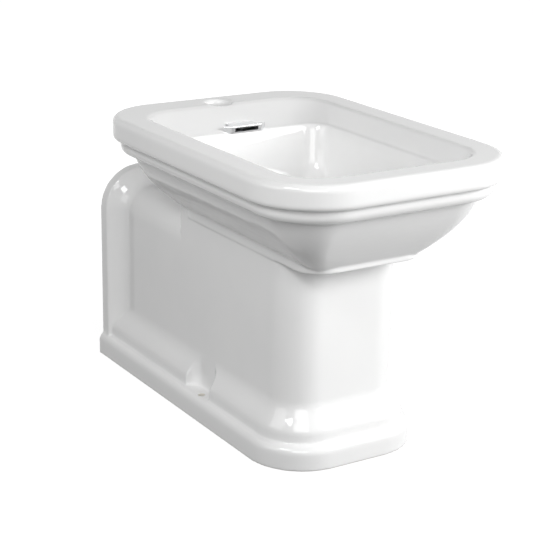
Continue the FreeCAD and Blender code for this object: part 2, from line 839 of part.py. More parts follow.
tap_corners.append((tap_radius + tap_round, rim_top + BEYOND))
turn(tap_hole, polygon(tap_hole, "tap_hole_profile", "XZ_Plane", tap_corners))
bind(tap_hole, "Placement.Base.y", tap_y)
fixing_y = wall - size("fixing_from_wall")
notch_foot = size("plinth_height")
notch_height = size("spotface_height")
notch_y = fixing_y + size("notch_shift")
notch_radius = size("spotface_radius")
notch_reach = size("notch_length") / 2 - notch_radius
fixing_cuts = []
foot_bosses = []
for side in (-1, 1):
    fixing_x = size("fixing_width") * (side / 2)
    fixing_cuts.append(post("fixing_hole", fixing_x, fixing_y, dim(-BEYOND), size("fixing_bore") / 2,
                            notch_height))
    for end in (-1, 1):
        fixing_cuts.append(post("fixing_notch_end", fixing_x, notch_y + notch_reach * end, notch_foot,
                                notch_radius, notch_height))
    fixing_cuts.append(box("fixing_notch", fixing_x, notch_y - notch_reach, notch_foot,
                           notch_radius * 2, notch_reach * 2, notch_height))
    foot_bosses.append(post("foot_boss", fixing_x, fixing_y, dim(0), size("foot_boss_radius"),
                            size("foot_boss_height")))

# China: four castings that are stuck together with slip before the firing

across = size("rim_width") + 2 * BEYOND
along = size("rim_depth") + 2 * BEYOND
rim_zone = box("rim_zone", dim(0), rim_front - BEYOND, band_top, across, along, size("rim_face") + BEYOND)
bowl_zone = box("bowl_zone", dim(0), rim_front - BEYOND, collar_foot, across, along - BEYOND,
                band_top - collar_foot)
outer_form = join("china_outer_form", [skin, plinth])
shell = cut("china_shell", outer_form, hollow)
inner_form = join("china_inner_form", [basin_wall, duct, tap_boss])
lining = common("china_lining", [inner_form, outer_form])
openings = join("china_openings", [basin, channel, overflow_hole, sleeve_seat, waste_hole] + fixing_cuts)

rim_blank = common("rim_blank", [join("china_walls", [shell, lining]), rim_zone])
china_rim = cut("china_rim", cut("rim_unbored", rim_blank, openings), tap_hole)
china_basin = cut("china_basin", cut("basin_blank", lining, rim_zone), openings)
china_bowl = cut("china_bowl", common("bowl_blank", [shell, bowl_zone]), inner_form)
bosses = common("bosses_in_plinth", [join("foot_bosses", foot_bosses), outer_form])
beyond_pedestal = join("beyond_pedestal", [rim_zone, bowl_zone, inner_form, openings])
china_pedestal = cut("china_pedestal", join("pedestal_blank", [shell, bosses]), beyond_pedestal)

# Pieces turned about the waste's upright axis

def ring(label, inner, outer, foot, top):
    """A plain ring: its radii and its two levels."""
    return turned(label, [(inner, foot), (outer, foot), (outer, top), (inner, top)])


def turned(label, corners):
    body = new_body(label)
    turn(body, polygon(body, label + "_profile", "XZ_Plane", corners))
    bind(body, "Placement.Base.y", waste_y)
    return body


def hexagon_nut(label, foot, top, thread_radius):
    """A six-sided nut with a threaded bore right through."""
    body = new_body(label)
    corner = size("nut_flats") / (2 * math.cos(math.pi / 6))
    corners = []
    for side in range(6):
        angle = math.pi / 3 * side + math.pi / 6
        corners.append((corner * math.cos(angle), corner * math.sin(angle)))
    corners = [(None if abs(a.value) < 0.01 else a, b) for a, b in corners]
    nut = pad(body, polygon(body, label + "_outline", "XY_Plane", corners, foot), top - foot)
    soften(body, nut, size("nut_corner"), lambda edge: edge.BoundBox.ZLength > 1)
    pocket(body, circle(body, label + "_bore", "XY_Plane", thread_radius, offset=top), top - foot)
    bind(body, "Placement.Base.y", waste_y)
    return body


def lipped_nut(label, foot, top, thread_radius, ledge, lip_radius):
    """A nut whose bore narrows to an inward lip between the ledge and the nearer end."""
    body = hexagon_nut(label, foot, top, lip_radius)
    bore = circle(body, label + "_thread", "XY_Plane", thread_radius, offset=ledge)
    lip_at_top = top.value - ledge.value < ledge.value - foot.value
    depth = ledge - foot if lip_at_top else top - ledge
    pocket(body, bore, depth, backwards=not lip_at_top)
    return body


def lay_down(body):
    """Turns a piece so that its own axis runs to the wall along the trap's branch."""
    body.Placement = FreeCAD.Placement(Vector(), FreeCAD.Rotation(Vector(1, 0, 0), -90))
    bind(body, "Placement.Base.y", waste_y)
    bind(body, "Placement.Base.z", branch_axis)


# Waste

tail_radius = size("tail_radius")
tail_bore = size("tail_bore")
round_tail = tail_radius + size("thread_gap")
seal_top = recess_floor + size("top_seal_thickness")
flange_top = seal_top + size("flange_thickness")
flange_radius = size("flange_radius")

waste_top_seal = ring("waste_top_seal", round_tail, size("top_seal_radius"), recess_floor, seal_top)

chamfer = size("flange_chamfer")
waste_body = turned("waste_body", [
    (tail_bore, flange_top), (flange_radius - chamfer, flange_top), (flange_radius, flange_top - chamfer),
    (flange_radius, seal_top), (tail_radius, seal_top), (tail_radius, tail_foot),
    (tail_bore, tail_foot)])
hub_foot = tail_foot + size("hub_rise")
hub_top = hub_foot + size("hub_height")
rib_half = size("rib_thickness") / 2
rib_reach = tail_bore + size("rib_root")
for name, across, along in (("spider_x", rib_reach, rib_half), ("spider_y", rib_half, rib_reach)):
    bar = polygon(waste_body, name, "XY_Plane", [(-across, -along), (across, -along), (across, along),
                                                 (-across, along)], hub_foot)
    pad(waste_body, bar, size("hub_height"))
pad(waste_body, circle(waste_body, "spider_hub", "XY_Plane", size("hub_radius"), offset=hub_foot),
    size("hub_height"))
screw_radius = size("screw_radius")
hub_thread = circle(waste_body, "hub_thread", "XY_Plane", screw_radius + size("thread_gap"), offset=hub_top)
pocket(waste_body, hub_thread, size("hub_height"))
slot_foot = recess_floor - size("tail_slot_drop")
slot_top = slot_foot + size("tail_slot_height")
slot_half = size("tail_slot_width") / 2
for plane in ("XZ_Plane", "YZ_Plane"):
    slot = polygon(waste_body, "tail_slot", plane, [(-slot_half, slot_foot), (slot_half, slot_foot),
                                                    (slot_half, slot_top), (-slot_half, slot_top)])
    pocket(waste_body, slot, flange_radius * 2, both_ways=True)

washer_top = boss_foot - size("lower_seal_height")
nut_top = washer_top - size("slip_washer_height")
waste_lower_seal = turned("waste_lower_seal", [
    (round_tail, washer_top), (size("lower_seal_radius") - size("lower_seal_taper"), washer_top),
    (size("lower_seal_radius"), boss_foot), (round_tail, boss_foot)])
waste_slip_washer = ring("waste_slip_washer", round_tail, size("slip_washer_radius"), nut_top, washer_top)
waste_back_nut = hexagon_nut("waste_back_nut", nut_top - size("back_nut_height"), nut_top, round_tail)

# Click mechanism: the stem is drawn raised, which is the open rest

stem_radius = size("stem_radius")
stem_bore = stem_radius + size("running_gap")
cartridge_foot = hub_foot - size("cartridge_tip")
cartridge_top = hub_top + size("cartridge_length")
bore_floor = cartridge_foot + size("cartridge_floor")
stem_foot = bore_floor + size("spring_length")
cartridge_radius = size("cartridge_radius")
click_cartridge = turned("click_cartridge", [
    (None, cartridge_foot), (screw_radius, cartridge_foot), (screw_radius, hub_top),
    (cartridge_radius, hub_top), (cartridge_radius, cartridge_top), (stem_bore, cartridge_top),
    (stem_bore, bore_floor), (None, bore_floor)])

plug_seal_foot = flange_top + size("plug_travel")
cap_foot = plug_seal_foot + size("plug_seal_height")
spigot_radius = size("spigot_radius")
socket_top = cap_foot + size("cap_socket")
plug_stem = turned("plug_stem", [(None, stem_foot), (stem_radius, stem_foot), (stem_radius, socket_top),
                                 (None, socket_top)])
plug_seal = ring("plug_seal", spigot_radius, size("plug_seal_radius"), plug_seal_foot, cap_foot)
dome_foot = cap_foot + size("cap_edge")
dome_rise = size("cap_height") - size("cap_edge")
cap_corners = [(stem_radius, plug_seal_foot), (spigot_radius, plug_seal_foot), (spigot_radius, cap_foot),
               (size("cap_radius"), cap_foot)]
for angle in range(0, 90, 10):
    reach = math.cos(math.radians(angle))
    rise = math.sin(math.radians(angle))
    cap_corners.append((size("cap_radius") * reach, dome_foot + dome_rise * rise))
cap_corners += [(None, cap_foot + size("cap_height")), (None, socket_top), (stem_radius, socket_top)]
plug_cap = turned("plug_cap", cap_corners)

spring_half_wire = size("spring_wire") / 2
spring_radius = stem_radius - spring_half_wire - size("spring_clear")
spring_foot = bore_floor + spring_half_wire
spring_height = stem_foot - spring_half_wire - spring_foot
spring_line = doc.addObject("Part::Helix", "spring_line")
bind(spring_line, "Radius", spring_radius)
bind(spring_line, "Height", spring_height)
spring_line.setExpression("Pitch", f"{spring_height.text} / Sizes.spring_turns")
bind(spring_line, "Placement.Base.y", waste_y)
bind(spring_line, "Placement.Base.z", spring_foot)
spring_section = doc.addObject("Part::Circle", "spring_section")
spring_section.Placement = FreeCAD.Placement(Vector(), FreeCAD.Rotation(Vector(1, 0, 0), 90))
bind(spring_section, "Radius", spring_half_wire)
bind(spring_section, "Placement.Base.x", spring_radius)
bind(spring_section, "Placement.Base.y", waste_y)
bind(spring_section, "Placement.Base.z", spring_foot)
click_spring = doc.addObject("Part::Sweep", "click_spring")
click_spring.Sections = [spring_section]
click_spring.Spine = (spring_line, ["Edge1"])
click_spring.Solid = True
click_spring.Frenet = True

# Trap

pipe_radius = size("pipe_radius")
pipe_bore = pipe_radius - size("pipe_wall")
pipe_way = pipe_radius + size("pipe_gap")
tube_top = tail_foot - size("inlet_washer_height")
tube_ledge = tube_top - size("dip_collar_height")
tube_collar = tail_radius - size("dip_collar_gap")
trap_inlet_washer = ring("trap_inlet_washer", pipe_bore, tail_radius - size("inlet_washer_gap"), tube_top,
                         tail_foot)
dip_foot = bottle_foot - size("dip_depth")
trap_dip_tube = turned("trap_dip_tube", [
    (pipe_bore, dip_foot), (pipe_radius, dip_foot), (pipe_radius, tube_ledge),
    (tube_collar, tube_ledge), (tube_collar, tube_top), (pipe_bore, tube_top)])
trap_inlet_nut = lipped_nut("trap_inlet_nut", tube_ledge - size("inlet_nut_lip"),
                            tail_foot + size("inlet_nut_grip"), round_tail, tube_ledge, pipe_way)

neck_radius = size("neck_radius")
neck_bore = pipe_radius + size("neck_gap")
bottle_radius = size("bottle_radius")
thread_radius = bottle_radius - size("bottle_thread_depth")
bottle_bore = thread_radius - size("bottle_wall")
shoulder_turn = shoulder - size("shoulder_drop")
shoulder_inside = shoulder - size("shoulder_wall")
rib_radius = bottle_radius + size("bottle_rib_width")
cup_top = bottle_foot + size("cup_grip")
rib_foot = cup_top + size("cup_seal_height")
rib_top = rib_foot + size("bottle_rib_height")
trap_body = turned("trap_body", [
    (neck_bore, neck_top), (neck_radius, neck_top), (neck_radius, shoulder + size("shoulder_rise")),
    (bottle_radius - size("shoulder_run"), shoulder), (bottle_radius, shoulder_turn),
    (bottle_radius, rib_top), (rib_radius, rib_top), (rib_radius, rib_foot), (thread_radius, rib_foot),
    (thread_radius, bottle_foot), (bottle_bore, bottle_foot), (bottle_bore, shoulder_turn),
    (bottle_bore - size("shoulder_run"), shoulder_inside), (neck_bore, shoulder_inside)])
branch_reach = size("branch_reach")
BRANCH_ROOT = 0.7
branch_root = bottle_radius * BRANCH_ROOT
branch = circle(trap_body, "branch_outline", "XZ_Plane", neck_radius, None, branch_axis, -branch_reach)
pad(trap_body, branch, branch_reach - branch_root)
inside = circle(trap_body, "bottle_inside", "XY_Plane", bottle_bore, offset=bottle_foot)
pocket(trap_body, inside, shoulder_turn - bottle_foot, backwards=True)
branch_way = circle(trap_body, "branch_way", "XZ_Plane", neck_bore, None, branch_axis, -branch_reach)
pocket(trap_body, branch_way, branch_reach - branch_root / 2, backwards=True)

cup_radius = bottle_radius + size("cup_proud")
cup_bore = thread_radius + size("thread_gap")
cup_foot = bottle_foot - size("cup_drop")
cup_floor = cup_foot + size("cup_floor")
trap_cup = turned("trap_cup", [
    (None, cup_foot), (cup_radius - size("cup_foot_inset"), cup_foot),
    (cup_radius - size("cup_bevel"), cup_foot + size("cup_bevel_rise")),
    (cup_radius, cup_foot + size("cup_edge_rise")), (cup_radius, cup_top), (cup_bore, cup_top),
    (cup_bore, cup_foot + size("cup_bore_foot")), (bottle_bore - size("shoulder_wall"), cup_floor),
    (None, cup_floor)])
trap_cup_seal = ring("trap_cup_seal", cup_bore, cup_radius, cup_top, rib_foot)

cone_bore = pipe_radius + size("cone_seal_gap")
cone_radius = neck_radius - size("neck_gap")
neck_thread = neck_radius + size("thread_gap")
neck_joint = neck_top + size("cone_seal")
branch_joint = branch_reach + size("cone_seal")
trap_top_washer = ring("trap_top_washer", cone_bore, cone_radius, neck_top, neck_joint)
trap_top_nut = lipped_nut("trap_top_nut", neck_top - size("nut_grip"), neck_joint + size("nut_lip"),
                          neck_thread, neck_joint, pipe_way)
outlet_washer = ring("outlet_washer", cone_bore, cone_radius, branch_reach, branch_joint)
outlet_nut = lipped_nut("outlet_nut", branch_reach - size("nut_grip"), branch_joint + size("nut_lip"),
                        neck_thread, branch_joint, pipe_way)
outlet_end = wall - waste_y
bead_end = outlet_end - size("outlet_insert")
bead_start = bead_end - size("outlet_bead")
bead_radius = pipe_radius + size("outlet_bead_rise")
outlet_start = branch_reach - size("outlet_grip")
outlet_pipe = turned("outlet_pipe", [
    (pipe_bore, outlet_start), (pipe_radius, outlet_start), (pipe_radius, bead_start),
    (bead_radius, bead_start), (bead_radius, bead_end), (pipe_radius, bead_end),
    (pipe_radius, outlet_end), (pipe_bore, outlet_end)])
for piece in (outlet_washer, outlet_nut, outlet_pipe):
    lay_down(piece)

# Overflow

overflow_wall = size("overflow_wall")


def block_outline(body, name, half, foot, top, y):
    return polygon(body, name, "XZ_Plane", [(-half, foot), (half, foot), (half, top), (-half, top)], -y)


overflow_cover = new_body("overflow_cover")
cover_corners = cover_plan(dim(0), cover_back)
cover_outline = polygon(overflow_cover, "cover_outline", "XY_Plane", cover_corners, overflow_foot)
cover = pad(overflow_cover, cover_outline, size("overflow_height"))


def front_or_wing_edge(edge):
    """Picks the edges round the flat front and those of the wings that run back from it."""
    return edge.BoundBox.YMin < cover_front.value + TOUCHING


soften(overflow_cover, cover, size("overflow_edge"), front_or_wing_edge)
cover_inside = block_outline(overflow_cover, "cover_inside", overflow_half - overflow_wall,
                             overflow_foot + overflow_wall, overflow_top - overflow_wall, cover_back)
pocket(overflow_cover, cover_inside, cover_back - cover_front - overflow_wall, backwards=True)
slot_rise = size("overflow_slot_height") / 2
cover_slot = block_outline(overflow_cover, "cover_slot", size("overflow_slot_width") / 2,
                           overflow_axis - slot_rise, overflow_axis + slot_rise,
                           cover_front + overflow_wall + BEYOND)
pocket(overflow_cover, cover_slot, overflow_wall + BEYOND * 2, backwards=True)

overflow_seal = new_body("overflow_seal")
sleeve_foot = overflow_foot - size("sleeve_thickness")
sleeve_top = overflow_top + size("sleeve_thickness")
sleeve_end = sleeve_y + size("sleeve_length")
sleeve = block_outline(overflow_seal, "sleeve_outline", sleeve_width / 2, sleeve_foot, sleeve_top, sleeve_y)
pad(overflow_seal, sleeve, size("sleeve_length"), backwards=True)
sleeve_inside = block_outline(overflow_seal, "sleeve_inside", overflow_half, overflow_foot, overflow_top,
                              sleeve_end)
pocket(overflow_seal, sleeve_inside, size("sleeve_length"), backwards=True)

# Checks, then one file for each piece

PIECES = [china_rim, china_basin, china_bowl, china_pedestal, overflow_cover, overflow_seal, waste_body,
          waste_top_seal, waste_lower_seal, waste_slip_washer, waste_back_nut, click_cartridge,
          click_spring, plug_stem, plug_cap, plug_seal, trap_inlet_nut, trap_inlet_washer, trap_dip_tube,
          trap_body, trap_top_nut, trap_top_washer, trap_cup, trap_cup_seal, outlet_nut, outlet_washer,
          outlet_pipe]

doc.recompute()
for thing in doc.Objects:
    if "Invalid" in thing.State or "Error" in thing.State:
        raise RuntimeError(f"{thing.Name} did not build: {thing.State}")
for piece in PIECES:
    shape = piece.Shape
    if shape.isNull() or not shape.isValid() or len(shape.Solids) != 1:
        raise RuntimeError(f"{piece.Label} is not one valid solid")
    print(f"{piece.Label}: {shape.Volume / 1000:.2f} cm3")

os.makedirs("parts", exist_ok=True)
for piece in PIECES:
    piece.Shape.exportStep(f"parts/{piece.Label}.step")
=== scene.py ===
import json
import math

import bmesh
import bpy
import numpy as np
from mathutils import Matrix, Vector

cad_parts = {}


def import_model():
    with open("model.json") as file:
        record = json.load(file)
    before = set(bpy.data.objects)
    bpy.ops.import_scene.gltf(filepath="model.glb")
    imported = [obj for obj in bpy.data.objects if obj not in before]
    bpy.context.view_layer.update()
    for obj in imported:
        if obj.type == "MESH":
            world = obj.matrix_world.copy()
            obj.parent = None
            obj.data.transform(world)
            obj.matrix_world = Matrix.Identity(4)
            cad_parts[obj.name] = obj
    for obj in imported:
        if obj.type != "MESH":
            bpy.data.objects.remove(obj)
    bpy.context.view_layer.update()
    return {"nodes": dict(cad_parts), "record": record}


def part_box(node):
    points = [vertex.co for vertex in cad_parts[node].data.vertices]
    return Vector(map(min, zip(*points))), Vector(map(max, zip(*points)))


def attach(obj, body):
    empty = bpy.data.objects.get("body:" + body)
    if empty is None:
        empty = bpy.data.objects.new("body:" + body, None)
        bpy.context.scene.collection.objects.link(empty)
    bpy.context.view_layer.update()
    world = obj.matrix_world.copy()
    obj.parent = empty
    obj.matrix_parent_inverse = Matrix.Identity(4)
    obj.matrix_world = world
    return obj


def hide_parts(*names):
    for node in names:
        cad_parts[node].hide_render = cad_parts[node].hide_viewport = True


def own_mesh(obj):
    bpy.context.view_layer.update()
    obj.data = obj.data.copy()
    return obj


# A back-to-wall bidet in white glazed china, with its overflow, click waste and bottle trap.
# Metres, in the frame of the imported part: +Z up, the user toward -Y, the wall at +Y.

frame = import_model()
nodes = frame["nodes"]
# the body that stands still
FIXTURE = "fixture"
# the wall's face, as y
WALL_PLANE = 0.323
UPWARD = Vector((0, 0, 1))
WHITE = (1, 1, 1, 1)


# Nodes of a shader

def add(tree, kind, **settings):
    """Adds one node; a setting is a property of the node, or else the value of an input."""
    node = tree.nodes.new(kind)
    for name, value in settings.items():
        if hasattr(node, name):
            setattr(node, name, value)
        else:
            node.inputs[name.replace("_", " ")].default_value = value
    return node


def feed(tree, node, *values):
    """Gives a node's first inputs their values, each a plain value or another node's output."""
    for socket, value in zip(node.inputs, values):
        if isinstance(value, bpy.types.NodeSocket):
            tree.links.new(value, socket)
        else:
            socket.default_value = value


def maths(tree, operation, *values):
    """A sum on single numbers; returns its result."""
    node = add(tree, "ShaderNodeMath", operation=operation)
    feed(tree, node, *values)
    return node.outputs["Value"]


def vectors(tree, operation, *values, result="Vector"):
    """A sum on vectors; returns its result, which for a length is its Value."""
    node = add(tree, "ShaderNodeVectorMath", operation=operation)
    feed(tree, node, *values)
    return node.outputs[result]


# Materials

# the part of a noise's range over which its two colours blend
RAMP_SPAN = (0.35, 0.65)
GLAZE_IOR = 1.52


def new_material(name):
    """A material with a Principled shader; returns it with its tree and shader."""
    material = bpy.data.materials.new(name)
    material.use_nodes = True
    tree = material.node_tree
    return material, tree, tree.nodes["Principled BSDF"]


def noise(tree, scale, detail, stretch=(1, 1, 1)):
    """A noise over the piece's own place in metres; scale is in bumps per metre."""
    place = add(tree, "ShaderNodeTexCoord")
    mapping = add(tree, "ShaderNodeMapping", Scale=stretch)
    texture = add(tree, "ShaderNodeTexNoise", Scale=scale, Detail=detail)
    tree.links.new(place.outputs["Object"], mapping.inputs["Vector"])
    tree.links.new(mapping.outputs["Vector"], texture.inputs["Vector"])
    return texture.outputs["Fac"]


def ramp(tree, source, low, high):
    """Two colours, or two greys given as numbers, spread over a noise."""
    node = add(tree, "ShaderNodeValToRGB")
    for element, place, value in zip(node.color_ramp.elements, RAMP_SPAN, (low, high)):
        element.position = place
        element.color = (*value, 1) if isinstance(value, tuple) else (value, value, value, 1)
    tree.links.new(source, node.inputs["Fac"])
    return node.outputs["Color"]


def bump(tree, source, height, strength):
    """Relief from a noise; height is in metres."""
    node = add(tree, "ShaderNodeBump", Strength=strength, Distance=height)
    tree.links.new(source, node.inputs["Height"])
    return node.outputs["Normal"]


def dress(tree, shader, colour, roughness, normal):
    """Links the three sources that every finish has to its shader."""
    for name, source in (("Base Color", colour), ("Roughness", roughness), ("Normal", normal)):
        tree.links.new(source, shader.inputs[name])


def glaze():
    """Thick white glaze: a hard gloss over a faint long waviness and the slightest change of tone."""
    material, tree, shader = new_material("china_glaze")
    tone = ramp(tree, noise(tree, scale=9.0, detail=3.0), (0.905, 0.907, 0.905), (0.925, 0.925, 0.921))
    polish = ramp(tree, noise(tree, scale=40.0, detail=4.0), 0.03, 0.055)
    waves = bump(tree, noise(tree, scale=28.0, detail=1.0), height=0.0004, strength=0.35)
    dress(tree, shader, tone, polish, waves)
    shader.inputs["IOR"].default_value = GLAZE_IOR
    return material


def bisque():
    """The bare fired clay inside the hollow and under the foot."""
    material, tree, shader = new_material("china_bisque")
    tone = ramp(tree, noise(tree, scale=60.0, detail=6.0), (0.72, 0.69, 0.63), (0.80, 0.77, 0.71))
    roughness = ramp(tree, noise(tree, scale=300.0, detail=3.0), 0.75, 0.95)
    grit = bump(tree, noise(tree, scale=900.0, detail=5.0), height=0.0003, strength=0.5)
    dress(tree, shader, tone, roughness, grit)
    return material


def metal(name, tones, roughness, grain=900.0, stretch=(1, 1, 1)):
    """A metal with a fine grain that changes its tone and its polish."""
    material, tree, shader = new_material(name)
    source = noise(tree, scale=grain, detail=4.0, stretch=stretch)
    scratches = bump(tree, source, height=0.00002, strength=0.4)
    dress(tree, shader, ramp(tree, source, *tones), ramp(tree, source, *roughness), scratches)
    shader.inputs["Metallic"].default_value = 1.0
    return material


def polymer(name, tones, roughness, grain, depth):
    """A moulded plastic or rubber with a fine surface grain."""
    material, tree, shader = new_material(name)
    tone = ramp(tree, noise(tree, scale=35.0, detail=3.0), *tones)
    source = noise(tree, scale=grain, detail=4.0)
    texture = bump(tree, source, height=depth, strength=0.5)
    dress(tree, shader, tone, ramp(tree, source, *roughness), texture)
    return material


GLAZE = glaze()
BISQUE = bisque()
LOOKS = {
    "chrome": metal("polished_chrome", tones=((0.78, 0.79, 0.80), (0.84, 0.84, 0.85)),
                    roughness=(0.035, 0.07)),
    "brass": metal("turned_brass", tones=((0.66, 0.50, 0.22), (0.78, 0.62, 0.33)),
                   roughness=(0.22, 0.34), grain=500.0, stretch=(1, 1, 12)),
    "spring_steel": metal("drawn_wire", tones=((0.52, 0.52, 0.54), (0.66, 0.66, 0.68)),
                          roughness=(0.2, 0.32)),
    "rubber": polymer("black_rubber", tones=((0.018, 0.018, 0.019), (0.035, 0.035, 0.036)),
                      roughness=(0.55, 0.8), grain=700.0, depth=0.0001),
    "white_plastic": polymer("white_moulding", tones=((0.80, 0.80, 0.77), (0.86, 0.86, 0.84)),
                             roughness=(0.3, 0.42), grain=500.0, depth=0.00005),
}


# China: the solid's form with its edges drowned in glaze

CASTINGS = ("china_rim", "china_basin", "china_bowl", "china_pedestal")
# size of a cell of the fine net
VOXEL = 0.0016
# rounds of smoothing, how far each one goes, and into how many grades it is shared out
FLOW_ROUNDS = 6
FLOW_FACTOR = 0.5
FLOW_STEPS = 4
# width of the ground edge at the wall, which stays sharp
GROUND_EDGE = 0.004
# a corner this deep under its neighbours is left sharp
HOLLOW_DEPTH = 0.00012
# places that keep their edges, each as its least and greatest corner: the seat of the overflow's cover
# and the two holes for the floor screws
CRISP_PLACES = (
    ((-0.036, 0.080, 0.386), (0.036, 0.130, 0.407)),
    ((-0.114, 0.0125, 0.010), (-0.101, 0.0255, 0.040)),
    ((0.101, 0.0125, 0.010), (0.114, 0.0255, 0.040)),
)
# the hollow and the foot's recess: half width, front, corner radius, top, radius of the top's edge
HOLLOWS = ((0.0810, -0.1768, 0.0388, 0.2650, 0.0295), (0.1102, -0.2060, 0.0680, 0.0240, 0.0001))
# a face this near to a bare surface belongs to it
SKIN = 0.002
# the holes for the floor screws: place across and along, reach of their walls, top
BORE_PLACE = (0.1075, 0.019)
BORE_REACH = 0.0054
BORE_TOP = 0.0336


def past_corner(first, second, radius):
    """How far a place is past a rounded corner, from its depths past the two edges."""
    return math.hypot(max(first + radius, 0), max(second + radius, 0)) - radius


def bare_clay(place):
    """True underneath, in the hollow, the foot's recess and the screw holes, where no glaze is put."""
    x, y, z = place
    if z < SKIN / 2:
        return True
    if z < BORE_TOP and math.hypot(abs(x) - BORE_PLACE[0], y - BORE_PLACE[1]) < BORE_REACH:
        return True
    for half, front, corner, top, edge in HOLLOWS:
        plan = past_corner(abs(x) - half, front - y, corner)
        if past_corner(plan, z - top, edge) < SKIN:
            return True
    return False


def new_piece(name, net):
    """Links a new object made from a bmesh, which it frees."""
    mesh = bpy.data.meshes.new(name)
    net.to_mesh(mesh)
    net.free()
    piece = bpy.data.objects.new(name, mesh)
    bpy.context.scene.collection.objects.link(piece)
    return piece


def apply_modifiers(piece):
    """Makes the modified shape the piece's own mesh."""
    shown = piece.evaluated_get(bpy.context.evaluated_depsgraph_get())
    piece.data = bpy.data.meshes.new_from_object(shown)
    piece.modifiers.clear()


def per_vertex(mesh, kind):
    """One row of three numbers for each vertex: its place or its normal."""
    rows = np.empty(len(mesh.vertices) * 3)
    mesh.vertices.foreach_get(kind, rows)
    return rows.reshape(-1, 3)


def flow_shares(mesh):
    """How far the glaze evens each vertex: not in hollow corners, at the wall or in a crisp place."""
    place = per_vertex(mesh, "co")
    ends = np.empty(len(mesh.edges) * 2, dtype=np.int64)
    mesh.edges.foreach_get("vertices", ends)
    first, second = ends[0::2], ends[1::2]
    count = np.bincount(ends, minlength=len(place))
    middle = np.empty_like(place)
    for axis in range(3):
        total = np.bincount(first, place[second, axis], len(place))
        total += np.bincount(second, place[first, axis], len(place))
        middle[:, axis] = total / count
    depth = ((middle - place) * per_vertex(mesh, "normal")).sum(axis=1)
    shares = np.clip(1 - depth / HOLLOW_DEPTH, 0, 1)
    shares[place[:, 1] > WALL_PLANE - GROUND_EDGE] = 0
    for low, high in CRISP_PLACES:
        shares[((place > low) & (place < high)).all(axis=1)] = 0
    return shares


def soft_china():
    """The four castings as one fired piece, remeshed finely and smoothed as the glaze smooths it."""
    net = bmesh.new()
    for name in CASTINGS:
        net.from_mesh(nodes[name].data)
    china = new_piece("glazed_china", net)
    remesh = china.modifiers.new("fine_net", "REMESH")
    remesh.mode = "VOXEL"
    remesh.voxel_size = VOXEL
    apply_modifiers(china)
    free = china.vertex_groups.new(name="free_to_flow")
    steps = np.round(flow_shares(china.data) * FLOW_STEPS).astype(int)
    for step in range(1, FLOW_STEPS + 1):
        free.add(np.flatnonzero(steps == step).tolist(), step / FLOW_STEPS, "REPLACE")
    smooth = china.modifiers.new("glaze_flow", "SMOOTH")
    smooth.factor = FLOW_FACTOR
    smooth.iterations = FLOW_ROUNDS
    smooth.vertex_group = free.name
    apply_modifiers(china)
    china.vertex_groups.clear()
    china.data.materials.clear()
    china.data.materials.append(GLAZE)
    china.data.materials.append(BISQUE)
    for face in china.data.polygons:
        face.use_smooth = True
        face.material_index = 1 if bare_clay(face.center) else 0
    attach(china, FIXTURE)
    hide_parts(*CASTINGS)


soft_china()

# The spring as a wound wire

# half the wire's thickness
SPRING_WIRE = 0.00045
SPRING_TURNS = 6
# flats round the wire, and steps in each turn
SPRING_SIDES = 12
SPRING_STEPS = 40


def wound_spring():
    """A helix of round wire that fills the solid spring's box."""
    low, high = (Vector(corner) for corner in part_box("click_spring"))
    middle = (low + high) / 2
    radius = (high.x - low.x) / 2 - SPRING_WIRE
    foot = low.z + SPRING_WIRE
    rise = high.z - low.z - 2 * SPRING_WIRE
    steps = SPRING_TURNS * SPRING_STEPS
    net = bmesh.new()
    rings = []
    for step in range(steps + 1):
        share = step / steps
        turn = 2 * math.pi * SPRING_TURNS * share
        out = Vector((math.cos(turn), math.sin(turn), 0))
        core = Vector((middle.x, middle.y, foot + rise * share)) + out * radius
        ring = []
        for side in range(SPRING_SIDES):
            angle = 2 * math.pi * side / SPRING_SIDES
            way = out * math.cos(angle) + UPWARD * math.sin(angle)
            ring.append(net.verts.new(core + way * SPRING_WIRE))
        rings.append(ring)
    for one, two in zip(rings, rings[1:]):
        for side in range(SPRING_SIDES):
            after = (side + 1) % SPRING_SIDES
            net.faces.new((one[side], one[after], two[after], two[side])).smooth = True
    net.faces.new(rings[0])
    net.faces.new(reversed(rings[-1]))
    bmesh.ops.recalc_face_normals(net, faces=net.faces)
    spring = new_piece("wound_spring", net)
    spring.data.materials.append(LOOKS["spring_steel"])
    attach(spring, FIXTURE)
    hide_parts("click_spring")
    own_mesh(spring)


wound_spring()

# The other nodes keep their solids, with edges eased and a finish each

EASE_WIDTH = 0.0003
EASE_SEGMENTS = 2
EASE_ANGLE = math.radians(40)
slot_of = {part["node"]: part["material_slot"] for part in frame["record"]["subparts"]}
for name, node in nodes.items():
    if name in CASTINGS or name == "click_spring":
        continue
    node.data.materials.clear()
    node.data.materials.append(LOOKS[slot_of[name]])
    ease = node.modifiers.new("eased_edges", "BEVEL")
    ease.width = EASE_WIDTH
    ease.segments = EASE_SEGMENTS
    ease.limit_method = "ANGLE"
    ease.angle_limit = EASE_ANGLE
    ease.harden_normals = True


# Stage, light and camera

# half the floor's width, how far it lies under the foot, and its grey in the light of the lamps
FLOOR_REACH = 12.0
FLOOR_DROP = 0.0005
FLOOR_TONE = 0.2
# how white the floor is near the object, and the distances between which it turns into the backdrop
FLOOR_LIFT = 0.92
FLOOR_FADE = (0.45, 1.3)
# the floor inside the plinth's outline, across and along, before it is widened by a round edge,
# where the white lift is left off as painted shade; it ends at the wall
COVERED_FLOOR = ((-0.042, 0.042), (-0.138, 0.400))
COVERED_EDGE = 0.074
# strength of the plain light from all round
FILL = 0.02
# the place that the lamps face, and their distance from it
LAMP_AIM = Vector((0, 0, 0.22))
LAMP_DISTANCE = 2.4
# width and height of a lamp
SOFTBOX = (1.3, 1.1)
SMALL_BOX = (0.72, 0.54)
TOP_BOX = (1.6, 1.6)
BACK_BOX = (1.8, 0.8)
